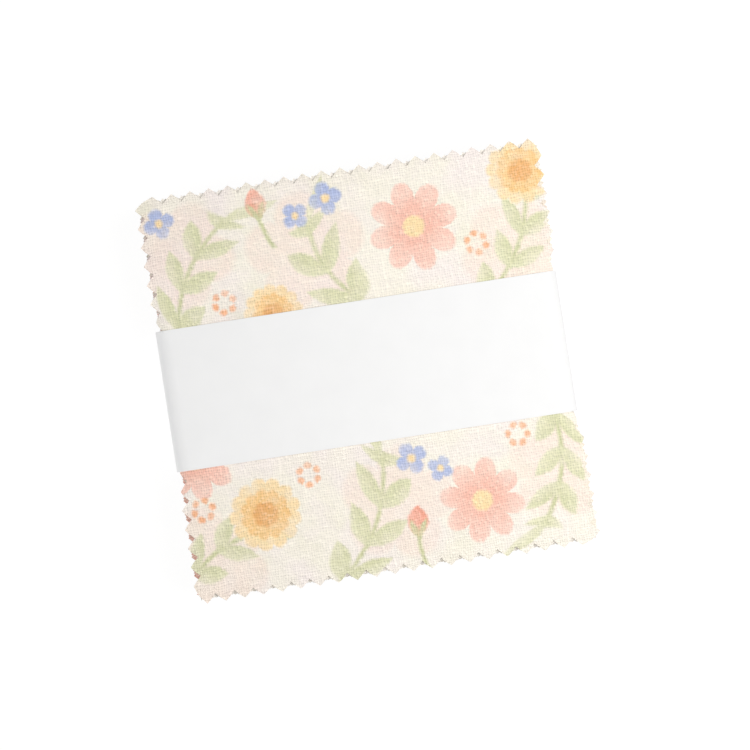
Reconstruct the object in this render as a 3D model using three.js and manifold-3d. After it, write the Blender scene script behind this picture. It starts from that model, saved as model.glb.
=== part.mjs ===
// Mini charm pack: a stack of small pinked cotton squares, held by a plain paper band.
// Millimetres, +Z up. The origin is on the table under the middle of the stack, +X runs along
// the band and +Y across it, towards the back edge of the squares.

import * as THREE from "three";
import { mergeVertices } from "three/addons/utils/BufferGeometryUtils.js";
import Module from "manifold-3d";

// Driving dimensions of a square and its pinked edge
const SQUARE_SIDE = 63.5; // tip to tip
const TEETH_PER_SIDE = 21;
const TOOTH_PITCH = 2.94;
const TOOTH_DEPTH = 1.4;
const FIRST_TIP = 1.75; // from the corner where a side starts to its first tip

// Driving dimensions of the stack: each sheaf is six squares that lie close together
const SHEAF_THICKNESS = 1.25;
const GAP = 0.3; // between neighbouring pieces
const PRESSED_HALF_WIDTH = 12.5; // the stretch under the band, which stays flat
const WING_RUN = 8; // over which a free wing eases up or down to its own level
const WING_STEPS = 6;
const FRONT_RISE = 0.7; // of the top sheaf's front wing, once clear of the band
const BACK_RISE = 1;

// Driving dimensions of the band
const BAND_WIDTH = 22;
const BAND_THICKNESS = 1;
const FOLD_SEGMENTS = 5;

// One row for each sheaf, from the bottom up. The band lines the sheaves up along X, so they
// stray further along Y. Colours are those of the cloth that shows at the edge.
const SHEAVES = [
  { name: "sheaf_1", turnDeg: 0.3, shiftX: 0.04, shiftY: -0.25, colour: 0xf3e9dc },
  { name: "sheaf_2", turnDeg: -0.35, shiftX: -0.06, shiftY: 0.2, colour: 0xb4c0dc },
  { name: "sheaf_3", turnDeg: 0.2, shiftX: 0.08, shiftY: 0.05, colour: 0xb9c49a },
  { name: "sheaf_4", turnDeg: -0.15, shiftX: -0.03, shiftY: -0.2, colour: 0xf0c173 },
  { name: "sheaf_5", turnDeg: 0.35, shiftX: 0.05, shiftY: 0.25, colour: 0xc9a0a6 },
  { name: "sheaf_6", turnDeg: -0.25, shiftX: -0.08, shiftY: -0.1, colour: 0xea8f7c },
  { name: "sheaf_7", turnDeg: 0.1, shiftX: 0.02, shiftY: 0.05, colour: 0xf7efe1 },
];
const CLOTH_ROUGHNESS = 0.95;
const PAPER_COLOUR = 0xfafafa;
const PAPER_ROUGHNESS = 0.75;

// Sizes that follow from these
const SHEAF_STEP = SHEAF_THICKNESS + GAP;
const STACK_HEIGHT = SHEAVES.length * SHEAF_STEP - GAP;
const STACK_FLOOR = BAND_THICKNESS + GAP;
const CUT_MARGIN = 2; // by which one cutting shape runs past the other

const wasm = await Module();
wasm.setup();

/** Turns a closed geometry into a solid that can be cut. */
function toSolid(geometry) {
  const bare = geometry.clone();
  bare.deleteAttribute("normal");
  bare.deleteAttribute("uv");
  const merged = mergeVertices(bare);
  return new wasm.Manifold(
    new wasm.Mesh({
      numProp: 3,
      vertProperties: merged.attributes.position.array,
      triVerts: new Uint32Array(merged.index.array),
    }),
  );
}

/** Turns a cut solid back into a geometry. */
function toGeometry(solid) {
  const { vertProperties, triVerts } = solid.getMesh();
  const geometry = new THREE.BufferGeometry();
  geometry.setAttribute("position", new THREE.BufferAttribute(vertProperties, 3));
  geometry.setIndex(new THREE.BufferAttribute(triVerts, 1));
  geometry.computeVertexNormals();
  return geometry;
}

/** The pinked outline of one square, centred: four sides of teeth, with the corners cut across. */
function pinkedOutline() {
  const points = [];
  const corner = new THREE.Vector2(-SQUARE_SIDE / 2, -SQUARE_SIDE / 2);
  for (let side = 0; side < 4; side++) {
    const turn = (side * Math.PI) / 2;
    const halfTeeth = 2 * TEETH_PER_SIDE - 1;
    for (let i = 0; i < halfTeeth; i++) {
      const along = FIRST_TIP + (i * TOOTH_PITCH) / 2;
      const inward = i % 2 === 0 ? 0 : TOOTH_DEPTH;
      const point = new THREE.Vector2(along, inward).add(corner);
      points.push(point.rotateAround(new THREE.Vector2(), turn));
    }
  }
  return new THREE.Shape(points);
}

/** How far a wing has left the pressed level at y, given the lifts of the two free edges. */
function wingLevel(y, frontLift, backLift) {
  const lift = y < 0 ? frontLift : backLift;
  const wingEnd = PRESSED_HALF_WIDTH + WING_RUN;
  return lift * THREE.MathUtils.smoothstep(Math.abs(y), PRESSED_HALF_WIDTH, wingEnd);
}

/** A sheaf's section across the band: flat in the middle, with a soft bend into each wing. */
function sheafSection(frontLift, backLift) {
  const backHalf = [];
  for (let i = 0; i <= WING_STEPS; i++) {
    backHalf.push(PRESSED_HALF_WIDTH + (i * WING_RUN) / WING_STEPS);
  }
  backHalf.push(SQUARE_SIDE / 2 + CUT_MARGIN);
  const stations = [...backHalf.map((y) => -y).reverse(), ...backHalf];
  const lower = stations.map((y) => new THREE.Vector2(y, wingLevel(y, frontLift, backLift)));
  const upper = lower.map(({ x, y }) => new THREE.Vector2(x, y + SHEAF_THICKNESS)).reverse();
  return new THREE.Shape([...lower, ...upper]);
}

/** One sheaf: its bent section run along X, cut to the turned and shifted pinked outline. */
function sheafGeometry({ turnDeg, shiftX, shiftY }, frontLift, backLift) {
  const length = SQUARE_SIDE + 2 * CUT_MARGIN;
  const slab = new THREE.ExtrudeGeometry(sheafSection(frontLift, backLift), {
    depth: length,
    bevelEnabled: false,
  });
  const acrossUpAlong = new THREE.Matrix4().makeBasis(
    new THREE.Vector3(0, 1, 0),
    new THREE.Vector3(0, 0, 1),
    new THREE.Vector3(1, 0, 0),
  );
  slab.applyMatrix4(acrossUpAlong).translate(-length / 2, 0, 0);

  const cutDepth = STACK_HEIGHT; // taller than any bent sheaf
  const cutter = new THREE.ExtrudeGeometry(pinkedOutline(), {
    depth: cutDepth,
    bevelEnabled: false,
  });
  cutter.rotateZ(THREE.MathUtils.degToRad(turnDeg));
  cutter.translate(shiftX, shiftY, (SHEAF_THICKNESS - cutDepth) / 2);
  return toGeometry(toSolid(slab).intersect(toSolid(cutter)));
}

/** Half the length that the stack takes up along X under the band. */
function stackReach() {
  const reaches = SHEAVES.map(({ turnDeg, shiftX }) => {
    const skew = Math.tan(THREE.MathUtils.degToRad(Math.abs(turnDeg)));
    return SQUARE_SIDE / 2 + Math.abs(shiftX) + (skew * BAND_WIDTH) / 2;
  });
  return Math.max(...reaches);
}

/** Draws a centred rectangle with round corners into a shape or a hole. */
function traceRounded(path, halfLength, halfHeight, radius) {
  const x = halfLength - radius;
  const y = halfHeight - radius;
  const quarter = Math.PI / 2;
  path.absarc(x, -y, radius, -quarter, 0);
  path.absarc(x, y, radius, 0, quarter);
  path.absarc(-x, y, radius, quarter, 2 * quarter);
  path.absarc(-x, -y, radius, 2 * quarter, 3 * quarter);
  path.closePath();
  return path;
}

/** The band: a closed paper loop around the middle of the stack, with a soft fold at each edge. */
function bandGeometry() {
  const halfLength = stackReach() + GAP;
  const halfHeight = STACK_HEIGHT / 2 + GAP;
  const loop = traceRounded(
    new THREE.Shape(),
    halfLength + BAND_THICKNESS,
    halfHeight + BAND_THICKNESS,
    GAP + BAND_THICKNESS,
  );
  loop.holes.push(traceRounded(new THREE.Path(), halfLength, halfHeight, GAP));
  const geometry = new THREE.ExtrudeGeometry(loop, {
    depth: BAND_WIDTH,
    bevelEnabled: false,
    curveSegments: FOLD_SEGMENTS,
  });
  return geometry.translate(0, 0, -BAND_WIDTH / 2).rotateX(Math.PI / 2);
}

/** A matt finish for cloth or paper. */
function mattFinish(color, roughness) {
  return new THREE.MeshStandardMaterial({ color, roughness, metalness: 0 });
}

const pack = new THREE.Group();
pack.name = "mini_charm_pack";

SHEAVES.forEach((sheaf, level) => {
  const height = level / (SHEAVES.length - 1);
  const frontLift = THREE.MathUtils.lerp(-STACK_FLOOR, FRONT_RISE, height);
  const backLift = THREE.MathUtils.lerp(-STACK_FLOOR, BACK_RISE, height);
  const geometry = sheafGeometry(sheaf, frontLift, backLift);
  const mesh = new THREE.Mesh(geometry, mattFinish(sheaf.colour, CLOTH_ROUGHNESS));
  mesh.name = sheaf.name;
  mesh.position.z = STACK_FLOOR + level * SHEAF_STEP;
  pack.add(mesh);
});

const band = new THREE.Mesh(bandGeometry(), mattFinish(PAPER_COLOUR, PAPER_ROUGHNESS));
band.name = "paper_band";
band.position.z = STACK_FLOOR + STACK_HEIGHT / 2;
pack.add(band);

export default pack;
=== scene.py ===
"""Looks of a mini charm pack: pinked cotton squares in a stack, held by a plain paper band.

Lengths are in metres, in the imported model's frame: +X along the band, +Y towards the back edge of
the squares, +Z up, with the table at z = 0. Prints and weaves are worked out in millimetres of cloth.
"""

import logging
import math
import random
from dataclasses import dataclass, field, replace
from enum import Enum

import bmesh
import bpy
from mathutils import Matrix, Vector, noise

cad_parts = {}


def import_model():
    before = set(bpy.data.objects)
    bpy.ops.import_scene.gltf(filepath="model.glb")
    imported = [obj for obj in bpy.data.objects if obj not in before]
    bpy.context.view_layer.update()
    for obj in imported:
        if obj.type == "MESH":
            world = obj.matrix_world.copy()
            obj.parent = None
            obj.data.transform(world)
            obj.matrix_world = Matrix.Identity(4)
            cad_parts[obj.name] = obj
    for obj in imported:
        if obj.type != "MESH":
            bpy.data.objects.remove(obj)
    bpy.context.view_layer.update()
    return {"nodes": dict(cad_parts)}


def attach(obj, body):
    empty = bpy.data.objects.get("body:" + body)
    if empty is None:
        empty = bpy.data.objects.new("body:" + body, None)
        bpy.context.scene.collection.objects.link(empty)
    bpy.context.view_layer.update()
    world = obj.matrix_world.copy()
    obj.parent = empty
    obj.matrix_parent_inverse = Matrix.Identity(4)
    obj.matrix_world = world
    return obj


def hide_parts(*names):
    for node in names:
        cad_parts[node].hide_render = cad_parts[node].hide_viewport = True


LOG = logging.getLogger("charm_pack")
MM = 0.001
BODY = "root"
CLOTH_MAP = "cloth_mm"
PRINTED_SIDE = "printed_side"
SEED = 7
SHARP_EDGE = math.radians(40)

# Sockets of a Mix node: its share and the two things it mixes, for numbers and for colours
MIX_NUMBERS = (0, 2, 3)
MIX_COLOURS = (0, 6, 7)
MIXED_COLOUR = 2

Colour = tuple[float, float, float]
Material = bpy.types.Material
Socket = bpy.types.NodeSocket
Tree = bpy.types.NodeTree

# Colours of cloth and ink, in linear light
CREAM: Colour = (0.862, 0.812, 0.716)
MILK: Colour = (0.93, 0.89, 0.835)
GREIGE: Colour = (0.80, 0.75, 0.66)
BLUSH: Colour = (0.86, 0.685, 0.60)
HAZE: Colour = (0.835, 0.74, 0.755)
CORAL_PALE: Colour = (0.87, 0.56, 0.47)
CORAL: Colour = (0.82, 0.34, 0.24)
CORAL_SOFT: Colour = (0.87, 0.60, 0.52)
ROSE: Colour = (0.60, 0.30, 0.30)
MAUVE: Colour = (0.46, 0.29, 0.32)
GOLD_PALE: Colour = (0.88, 0.66, 0.36)
GOLD: Colour = (0.85, 0.52, 0.20)
AMBER: Colour = (0.74, 0.35, 0.10)
ORANGE: Colour = (0.86, 0.42, 0.22)
SAGE_PALE: Colour = (0.68, 0.67, 0.45)
SAGE: Colour = (0.56, 0.57, 0.32)
SAGE_DEEP: Colour = (0.36, 0.39, 0.20)
BLUE_PALE: Colour = (0.58, 0.64, 0.77)
BLUE: Colour = (0.37, 0.44, 0.68)


def smooth_rise(value: float, start: float, end: float) -> float:
    """Eases from 0 at start to 1 at end.

    Args:
        value: The place to look at.
        start: Where the rise begins.
        end: Where the rise is complete.

    Returns:
        The eased share, from 0 to 1.
    """
    share = min(1.0, max(0.0, (value - start) / (end - start)))
    return share * share * (3 - 2 * share)


def uneven(x: float, y: float, scales: tuple[float, float], layer: float) -> float:
    """Reads a soft unevenness, from about -1 to 1: features in a metre each way, and which pattern."""
    return noise.noise(Vector((x * scales[0], y * scales[1], layer)))


def placed(name: str, data: bpy.types.ID) -> bpy.types.Object:
    """Puts a mesh, a lamp or a camera into the scene.

    Args:
        name: The object's name.
        data: What the object holds.

    Returns:
        The object, at the origin.
    """
    made = bpy.data.objects.new(name, data)
    bpy.context.scene.collection.objects.link(made)
    return made


def piece_of(shape: bmesh.types.BMesh, name: str) -> bpy.types.Object:
    """Turns a finished shape into an object of the scene.

    Args:
        shape: The shape, which is used up.
        name: The object's name.

    Returns:
        The object.
    """
    mesh = bpy.data.meshes.new(name)
    shape.to_mesh(mesh)
    shape.free()
    return placed(name, mesh)


def shade_smooth(shape: bmesh.types.BMesh) -> None:
    """Shades a shape smooth, apart from its sharp edges.

    Args:
        shape: The shape.
    """
    for face in shape.faces:
        face.smooth = True
    for edge in shape.edges:
        edge.smooth = edge.calc_face_angle(0) < SHARP_EDGE


class Field:
    """A number that varies over a surface: a shader socket that can be used in formulas."""

    def __init__(self, tree: Tree, socket: Socket) -> None:
        """Wraps a socket of a node tree."""
        self.tree = tree
        self.socket = socket

    @classmethod
    def of(cls, tree: Tree, operation: str, *values: "Field | float") -> "Field":
        """Adds one maths node.

        Args:
            tree: The node tree that gets the node.
            operation: Blender's name of the operation.
            values: The operands, in order.

        Returns:
            The node's result.
        """
        node = tree.nodes.new("ShaderNodeMath")
        node.operation = operation
        for slot, value in zip(node.inputs, values):
            if isinstance(value, Field):
                tree.links.new(value.socket, slot)
            else:
                slot.default_value = value
        return cls(tree, node.outputs[0])

    def __add__(self, other: "Field | float") -> "Field":
        """Adds."""
        return Field.of(self.tree, "ADD", self, other)

    def __sub__(self, other: "Field | float") -> "Field":
        """Subtracts."""
        return Field.of(self.tree, "SUBTRACT", self, other)

    def __rsub__(self, other: float) -> "Field":
        """Subtracts from a plain number."""
        return Field.of(self.tree, "SUBTRACT", other, self)

    def __mul__(self, other: "Field | float") -> "Field":
        """Multiplies."""
        return Field.of(self.tree, "MULTIPLY", self, other)

    def __pow__(self, other: "Field | float") -> "Field":
        """Raises to a power."""
        return Field.of(self.tree, "POWER", self, other)

    def __abs__(self) -> "Field":
        """Takes away the sign."""
        return Field.of(self.tree, "ABSOLUTE", self)

    def sin(self) -> "Field":
        """The sine."""
        return Field.of(self.tree, "SINE", self)

    def cos(self) -> "Field":
        """The cosine."""
        return Field.of(self.tree, "COSINE", self)

    def floor(self) -> "Field":
        """The whole number below."""
        return Field.of(self.tree, "FLOOR", self)

    def root(self) -> "Field":
        """The square root."""
        return Field.of(self.tree, "SQRT", self)

    def repeat(self, length: float) -> "Field":
        """Repeats from minus half to plus half of a length."""
        return Field.of(self.tree, "WRAP", self, length / 2, -length / 2)

    def most(self, other: "Field | float") -> "Field":
        """The larger of two."""
        return Field.of(self.tree, "MAXIMUM", self, other)

    def least(self, other: "Field | float") -> "Field":
        """The smaller of two."""
        return Field.of(self.tree, "MINIMUM", self, other)

    def above(self, limit: float) -> "Field":
        """1 above a limit, else 0."""
        return Field.of(self.tree, "GREATER_THAN", self, limit)

    def edge(self, softness: float) -> "Field":
        """1 where the value is positive and 0 where it is negative, with a soft edge.

        Args:
            softness: How far the edge spreads, in the value's own unit.

        Returns:
            The mask.
        """
        mask = Field.of(self.tree, "MULTIPLY_ADD", self, 1 / softness, 0.5)
        mask.socket.node.use_clamp = True
        return mask

    def between(self, other: "Field", share: "Field") -> "Field":
        """Goes from this value to another.

        Args:
            other: The value at a share of 1.
            share: How far it goes, from 0 to 1.

        Returns:
            The value between the two.
        """
        node = self.tree.nodes.new("ShaderNodeMix")
        for slot, value in zip(MIX_NUMBERS, (share, self, other)):
            self.tree.links.new(value.socket, node.inputs[slot])
        return Field(self.tree, node.outputs[0])


def split(tree: Tree, vector: Socket) -> tuple[Field, Field]:
    """Takes the first two parts of a vector.

    Args:
        tree: The node tree that gets the node.
        vector: The vector's socket.

    Returns:
        The vector's x and y.
    """
    node = tree.nodes.new("ShaderNodeSeparateXYZ")
    tree.links.new(vector, node.inputs[0])
    return Field(tree, node.outputs[0]), Field(tree, node.outputs[1])


def joined(x: Field, y: Field) -> Socket:
    """Makes a vector of two numbers.

    Args:
        x: The first part.
        y: The second part.

    Returns:
        The vector's socket.
    """
    node = x.tree.nodes.new("ShaderNodeCombineXYZ")
    x.tree.links.new(x.socket, node.inputs[0])
    x.tree.links.new(y.socket, node.inputs[1])
    return node.outputs[0]


def blend(share: Field, under: Colour | Socket, over: Colour | Socket) -> Socket:
    """Lays one colour over another.

    Args:
        share: How much of the upper colour there is, from 0 to 1.
        under: The lower colour, plain or from a socket.
        over: The upper colour, plain or from a socket.

    Returns:
        The mixed colour's socket.
    """
    node = share.tree.nodes.new("ShaderNodeMix")
    node.data_type = "RGBA"
    share_slot, *colour_slots = MIX_COLOURS
    share.tree.links.new(share.socket, node.inputs[share_slot])
    for slot, colour in zip(colour_slots, (under, over)):
        if isinstance(colour, tuple):
            node.inputs[slot].default_value = (*colour, 1)
        else:
            share.tree.links.new(colour, node.inputs[slot])
    return node.outputs[MIXED_COLOUR]


def noise_of(tree: Tree, vector: Socket, scale: float, detail: float = 1.0, flat: bool = True) -> Field:
    """Adds a noise texture.

    Args:
        tree: The node tree that gets the node.
        vector: Where the noise is read.
        scale: How many features there are in one unit.
        detail: How many finer layers there are.
        flat: Whether the noise has two dimensions, not three.

    Returns:
        The noise; its node also has it as a colour.
    """
    node = tree.nodes.new("ShaderNodeTexNoise")
    node.noise_dimensions = "2D" if flat else "3D"
    node.inputs["Scale"].default_value = scale
    node.inputs["Detail"].default_value = detail
    tree.links.new(vector, node.inputs["Vector"])
    return Field(tree, node.outputs[0])


def chance_in(x: Field, y: Field) -> Field:
    """Draws a number for each cell of a grid.

    Args:
        x: The cell's column, a whole number.
        y: The cell's row, a whole number.

    Returns:
        A number from 0 to 1; its node also has a colour.
    """
    node = x.tree.nodes.new("ShaderNodeTexWhiteNoise")
    node.noise_dimensions = "2D"
    x.tree.links.new(joined(x, y), node.inputs["Vector"])
    return Field(x.tree, node.outputs["Value"])


def plain_material(name: str, settings: dict[str, float | tuple]) -> tuple[Material, bpy.types.Node]:
    """Makes a material whose shader has settings that are the same all over.

    Args:
        name: The material's name.
        settings: The value of each of the shader's own sockets.

    Returns:
        The material and its shader.
    """
    material = bpy.data.materials.new(name)
    material.use_nodes = True
    surface = material.node_tree.nodes["Principled BSDF"]
    for socket, value in settings.items():
        surface.inputs[socket].default_value = value
    return material, surface


def emboss(height: Field, depth: float, surface: bpy.types.Node) -> None:
    """Gives a surface a fine relief.

    Args:
        height: The relief's height, from 0 to 1.
        depth: How deep the relief is.
        surface: The shader.
    """
    bump = height.tree.nodes.new("ShaderNodeBump")
    bump.inputs["Distance"].default_value = depth
    height.tree.links.new(height.socket, bump.inputs["Height"])
    height.tree.links.new(bump.outputs[0], surface.inputs["Normal"])


@dataclass(frozen=True)
class Weave:
    """A plain weave of spun cotton: its thread spacing in millimetres, how uneven it is, and the painted
    shade and highlight it lays on a colour.
    """

    warp_pitch: float = 0.375
    weft_pitch: float = 0.395
    wander: float = 1.3
    wander_scale: float = 0.3
    spacing: float = 1.3
    spacing_scale: float = 0.9
    spacing_run: float = 0.1
    roundness: float = 0.55
    dip: float = 0.5
    slub_scale: float = 0.3
    slub_contrast: float = 0.15
    slub_spread: float = 3.71
    warp_offset: float = 0.37
    # Painted shade in the grooves and holes between the threads: its share in the grooves, its least depth
    # and its random extra depth
    groove_shade_share: float = 0.5
    gap_shade_depth: float = 0.05
    gap_shade_spread: float = 0.15
    stitch_contrast: float = 0.07
    lift: float = 0.055
    bleed: float = 0.18
    # How far the ink pales towards the ground: on the thread tops as a painted highlight, and on random
    # stitches bare of ink
    top_highlight: float = 0.1
    bare_stitches: float = 0.14
    group_name: str = "plain_weave"

    def spacing_shift(self, across: Field, along: Field) -> Field:
        """How far threads lie off their even places, in threads."""
        place = joined(across * self.spacing_scale, along * self.spacing_run)
        return noise_of(across.tree, place, 1.0) * self.spacing

    def thread_height(self, own: Field, crossing: Field) -> Field:
        """The height of a round thread that dips where it goes under the crossing ones."""
        return (own ** self.roundness) * (crossing * self.dip + (1 - self.dip))

    def group(self) -> Tree:
        """Makes the weave's node group once.

        Returns:
            A group that takes a place on the cloth in millimetres and gives the threads' height, the
            shade by which a colour is multiplied (the threads' own uneven tone and painted shade in the
            grooves and holes between them), the place of the ink that a thread has taken up, and how
            much the ink is paled to the ground colour (a painted highlight on the thread tops, and random
            stitches bare of ink).
        """
        known = bpy.data.node_groups.get(self.group_name)
        if known:
            return known
        tree = bpy.data.node_groups.new(self.group_name, "ShaderNodeTree")
        tree.interface.new_socket("Cloth", in_out="INPUT", socket_type="NodeSocketVector")
        for name, kind in (("Height", "Float"), ("Shade", "Float"), ("Ink", "Vector"), ("HighlightAndBare", "Float")):
            tree.interface.new_socket(name, in_out="OUTPUT", socket_type=f"NodeSocket{kind}")
        cloth = tree.nodes.new("NodeGroupInput").outputs[0]

        x, y = split(tree, cloth)
        wandering = noise_of(tree, cloth, self.wander_scale).socket.node
        stray_x, stray_y = split(tree, wandering.outputs["Color"])
        warp = x * (1 / self.warp_pitch) + stray_x * self.wander + self.spacing_shift(x, y)
        weft = y * (1 / self.weft_pitch) + stray_y * self.wander + self.spacing_shift(y, x)
        warp_wave = (warp * math.pi).sin()
        weft_wave = (weft * math.pi).sin()
        warp_on_top = (warp_wave * weft_wave).above(0)
        warp_round = abs(warp_wave)
        weft_round = abs(weft_wave)
        warp_height = self.thread_height(warp_round, weft_round)
        weft_height = self.thread_height(weft_round, warp_round)
        height = weft_height.between(warp_height, warp_on_top)

        thread = weft.floor().between(warp.floor() + self.warp_offset, warp_on_top)
        along = x.between(y, warp_on_top)
        slub = noise_of(tree, joined(along * self.slub_scale, thread * self.slub_spread), 1.0)
        stitch = chance_in(warp.floor(), weft.floor())
        mottle = (slub - 0.5) * self.slub_contrast + (stitch - 0.5) * self.stitch_contrast
        # Painted shade: darker in the grooves and holes between the threads, each hole to a random depth
        openness = chance_in((warp + 0.5).floor(), (weft + 0.5).floor())
        groove_shade = 1.0 - (warp_round + weft_round) * 0.5
        hole_shade = 1.0 - warp_round.most(weft_round)
        gap_shade = (groove_shade * self.groove_shade_share + hole_shade) * (openness * self.gap_shade_spread + self.gap_shade_depth)
        # The shade: the threads' own uneven tone, lifted to keep its mean, less the painted shade between
        # them
        shade = mottle + (1 + self.lift) - gap_shade
        # Painted highlight on the thread tops, plus random stitches bare of ink
        highlight_and_bare = height * self.top_highlight + (stitch * stitch) * self.bare_stitches
        spread_x, spread_y = split(tree, stitch.socket.node.outputs["Color"])
        ink = joined(x + (spread_x - 0.5) * self.bleed, y + (spread_y - 0.5) * self.bleed)

        made = tree.nodes.new("NodeGroupOutput")
        tree.links.new(ink, made.inputs["Ink"])
        for name, value in (("Height", height), ("Shade", shade), ("HighlightAndBare", highlight_and_bare)):
            tree.links.new(value.socket, made.inputs[name])
        return tree


@dataclass(frozen=True)
class Spot:
    """Where a motif is printed: its place and size in millimetres of cloth, and its turn in degrees."""

    x: float
    y: float
    turn: float
    size: float


@dataclass(frozen=True)
class Stem(Spot):
    """Where a leafy stem starts; its size is its length, and it bends by a share of that."""

    pairs: int
    bow: float


@dataclass(frozen=True)
class Stain:
    """A soft wash: stains in a millimetre, the noise levels where one begins and is full, and its ink."""

    scale: float
    low: float
    high: float
    strength: float
    colour: Colour


class PrintTable:
    """Prints motifs one over another on the ground colour of a cloth."""

    BLEED = 0.5
    GHOST_BLEED = 1.1
    STAIN_DETAIL = 2.0
    TONE_SCALE = 0.3
    TONE_SPREAD = 1.1
    TONE_FLOOR = 0.32
    PETAL_ROUNDNESS = 0.6
    MARIGOLD_RINGS = ((1.0, 13, GOLD_PALE), (0.7, 11, GOLD), (0.36, 7, AMBER))
    STALK_HALF_WIDTH = 0.36
    LEAF_LEAN = math.radians(38)
    BUD_STEM_HALF_WIDTH = 0.1
    BUD_STEM_BOW = 0.12
    BUD_STEM_START = -1.7
    BUD_STEM_END = 0.1
    BUD_START = -0.25
    SEPAL_START = -0.42
    SEPAL_LEAN = 0.42
    SEPAL_GAP = 0.12
    SEED_NARROWING = (1.6, 2.6)

    def __init__(self, tree: Tree, cloth: Socket, ground: Colour) -> None:
        """Starts with bare cloth.

        Args:
            tree: The material's node tree.
            cloth: The place on the cloth, in millimetres.
            ground: The ground colour.
        """
        self.tree = tree
        self.cloth = cloth
        self.printed: Colour | Socket = ground
        patches = noise_of(tree, cloth, self.TONE_SCALE, self.STAIN_DETAIL)
        self.tone = (patches * self.TONE_SPREAD + self.TONE_FLOOR).least(1.0)

    def ink(self, mask: Field, colour: Colour) -> None:
        """Prints one colour over what is there, where a mask from 0 to 1 says."""
        self.printed = blend(mask, self.printed, colour)

    def place(self, spot: Spot) -> tuple[Field, Field]:
        """Moves to a motif's own place.

        Args:
            spot: The motif's place.

        Returns:
            The motif's own x and y, in units of its size.
        """
        node = self.tree.nodes.new("ShaderNodeMapping")
        node.vector_type = "TEXTURE"
        node.inputs["Location"].default_value = (spot.x, spot.y, 0)
        node.inputs["Rotation"].default_value = (0, 0, math.radians(spot.turn))
        node.inputs["Scale"].default_value = (spot.size, spot.size, 1)
        self.tree.links.new(self.cloth, node.inputs["Vector"])
        return split(self.tree, node.outputs[0])

    def polar(self, x: Field, y: Field) -> tuple[Field, Field]:
        """Turns a place into a radius and an angle in radians."""
        return (x * x + y * y).root(), Field.of(self.tree, "ARCTAN2", y, x)

    def petals(self, spot: Spot, count: int, notch: float, soft: float = BLEED) -> tuple[Field, Field]:
        """Draws a ring of round-ended petals.

        Args:
            spot: The flower's place; its size is the radius.
            count: How many petals there are.
            notch: How deep the cuts between the petals are, as a share of the radius.
            soft: How soft the petals' edges are, in millimetres.

        Returns:
            The petals' mask, and the radius as a share of the flower's.
        """
        radius, angle = self.polar(*self.place(spot))
        lobes = abs((angle * (count / 2)).cos()) ** self.PETAL_ROUNDNESS
        return (lobes * notch + (1 - notch) - radius).edge(soft / spot.size), radius

    def daisy(self, spot: Spot, heart: float = 0.24, flush: float = 0.62, strength: float = 0.5) -> None:
        """Prints a daisy with eight petals, deeper in colour towards its heart.

        Args:
            spot: The daisy's place; its size is the radius.
            heart: The radius of its golden heart, as a share of its own.
            flush: How far out the deeper colour reaches, as such a share.
            strength: How strong the deeper colour is.
        """
        mask, radius = self.petals(spot, count=8, notch=0.42)
        self.ink(mask * self.tone, CORAL_PALE)
        self.ink(mask * (flush - radius).edge(softness=0.5) * strength, CORAL)
        self.ink((heart - radius).edge(self.BLEED / spot.size), GOLD_PALE)

    def ghost(self, spot: Spot, strength: float = 0.55) -> None:
        """Prints the pale shadow of a large flower with five petals."""
        mask, _ = self.petals(spot, count=5, notch=0.34, soft=self.GHOST_BLEED)
        self.ink(mask * self.tone * strength, BLUSH)

    def marigold(self, spot: Spot, twist: float = 40, strength: float = 0.95) -> None:
        """Prints a full round flower in three scalloped rings.

        Args:
            spot: The flower's place; its size is the radius.
            twist: By how many degrees the outer ring is turned; the inner ones are turned less.
            strength: How strong the ink is.
        """
        for share, lobes, colour in self.MARIGOLD_RINGS:
            ring = Spot(spot.x, spot.y, spot.turn + twist * share, spot.size * share)
            mask, _ = self.petals(ring, lobes, notch=0.16)
            self.ink(mask * self.tone * strength, colour)

    def posy(self, spot: Spot, eye: float = 0.26) -> None:
        """Prints a small blue flower with four petals and a golden eye.

        Args:
            spot: The flower's place; its size is the radius.
            eye: The eye's radius, as a share of the flower's.
        """
        mask, radius = self.petals(spot, count=4, notch=0.5)
        self.ink(mask * self.tone, BLUE)
        self.ink((eye - radius).edge(self.BLEED / spot.size), GOLD_PALE)

    def leaf_shape(self, x: Field, y: Field, length: float, width: float, soft: float) -> Field:
        """Draws a pointed leaf that starts at the origin and runs along x.

        Args:
            x: The leaf's own x.
            y: The leaf's own y.
            length: The leaf's length.
            width: The leaf's width.
            soft: How soft its edge is.

        Returns:
            The leaf's mask.
        """
        middle = x * (2 / length) - 1.0
        half = (1.0 - middle * middle) * (width / 2)
        return (half - abs(y)).edge(soft)

    def sprig(self, stem: Stem, bare_end: float = 0.35, shading: float = 0.55, tip: float = 0.96) -> None:
        """Prints a bowed stem with pairs of leaves and a leaf at its tip.

        Args:
            stem: The stem's place and form.
            bare_end: How much of a pair's room is left bare at the tip.
            shading: How strong the deeper green on one half of a leaf is.
            tip: Where the last leaf starts, as a share of the length.
        """
        soft = self.BLEED / stem.size
        x, y = self.place(stem)
        bent = y - (x - x * x) * (4 * stem.bow)
        out = abs(bent)
        inside = x.least(1.0 - x)
        stalk = (self.STALK_HALF_WIDTH / stem.size - out).least(inside).edge(soft)
        self.ink(stalk * self.tone, SAGE)
        pitch = 1 / (stem.pairs + bare_end)
        along = (x - pitch / 2).repeat(pitch) + pitch / 2
        leaf_x = along * math.cos(self.LEAF_LEAN) + out * math.sin(self.LEAF_LEAN)
        leaf_y = out * math.cos(self.LEAF_LEAN) - along * math.sin(self.LEAF_LEAN)
        side_leaf = self.leaf_shape(leaf_x, leaf_y, length=1.16 * pitch, width=0.46 * pitch, soft=soft)
        side_leaves = side_leaf * inside.edge(soft)
        self.ink(side_leaves * self.tone, SAGE_PALE)
        self.ink(side_leaves * (leaf_y * -1.0).edge(softness=0.3 * pitch) * shading, SAGE)
        straight = bent + (x - tip) * (4 * stem.bow)
        last_leaf = self.leaf_shape(x - tip, straight, length=0.34, width=0.14, soft=soft)
        self.ink(last_leaf * self.tone, SAGE_PALE)

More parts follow.
